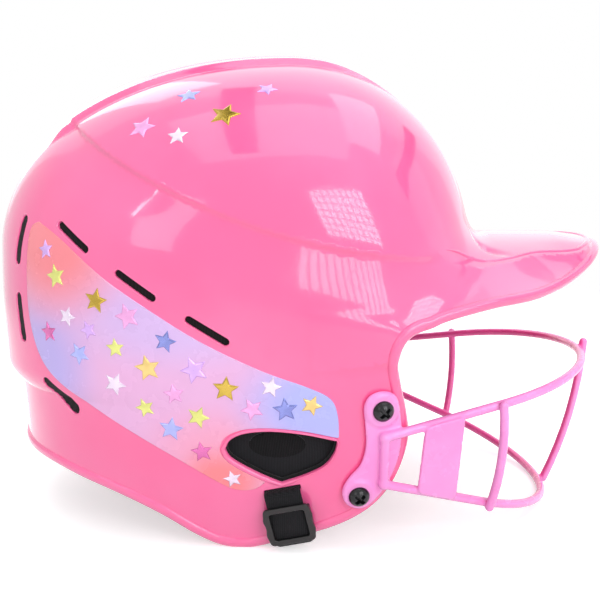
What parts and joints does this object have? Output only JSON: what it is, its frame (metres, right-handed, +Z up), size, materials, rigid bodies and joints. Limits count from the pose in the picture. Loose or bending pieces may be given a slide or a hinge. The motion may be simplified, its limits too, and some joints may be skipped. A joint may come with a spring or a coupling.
{
  "type": "softball batting helmet with face guard",
  "caption": "Hard batting helmet with visor, ear flaps, vent slots, bolted wire face guard, foam pads, chin strap and strap sliders.",
  "frame": {"origin": "middle of the helmet's outline on the table that it rests on, under the crown", "axes": "+X towards the visor and the face, +Y to the wearer's left, +Z up"},
  "size_m": [0.2961, 0.194, 0.2193],
  "materials": {
    "shell_pink": "high gloss",
    "printed_film": "gloss print",
    "guard_pink": "satin dipped",
    "black_steel": "satin",
    "zinc_steel": "plated",
    "hook_cloth": "hook tape",
    "foam_cloth": "knit over foam",
    "webbing": "woven",
    "black_plastic": "moulded"
  },
  "bodies": {
    "helmet": {"shell": "shell_pink", "panel_film_right": "printed_film", "panel_film_left": "printed_film", "upper_wire": "guard_pink", "lower_wire": "guard_pink", "end_post_right": "guard_pink", "end_post_left": "guard_pink", "centre_bar": "guard_pink", "side_bar_right": "guard_pink", "side_bar_left": "guard_pink", "cheek_plate": "guard_pink", "mount_plate_right": "guard_pink", "mount_plate_left": "guard_pink", "guard_screws": "black_steel", "tee_nuts": "zinc_steel", "hook_patches": "hook_cloth", "crown_pad": "foam_cloth", "forehead_pad": "foam_cloth", "rear_pad": "foam_cloth", "temple_pad_right": "foam_cloth", "temple_pad_left": "foam_cloth", "ear_pad_right": "foam_cloth", "ear_pad_left": "foam_cloth", "side_strap_right": "webbing", "side_strap_left": "webbing", "snap_stud_right": "zinc_steel", "snap_stud_left": "zinc_steel"},
    "chin_strap": {"chin_strap": "webbing"},
    "slider_right": {"strap_slider_right": "black_plastic"},
    "slider_left": {"strap_slider_left": "black_plastic"}
  },
  "joints": [
    {"name": "chin_strap_swing", "type": "hinge", "parent": "helmet", "child": "chin_strap", "pos_m": [-0.003, 0, 0.009], "axis": [0, -1, 0], "range_deg": [0, 135]},
    {"name": "slider_right_slide", "type": "slide", "parent": "helmet", "child": "slider_right", "axis": [-0.2074, -0.1883, 0.96], "range_m": [0, 0.005]},
    {"name": "slider_left_slide", "type": "slide", "parent": "helmet", "child": "slider_left", "axis": [-0.2074, 0.1883, 0.96], "range_m": [0, 0.005]}
  ]
}
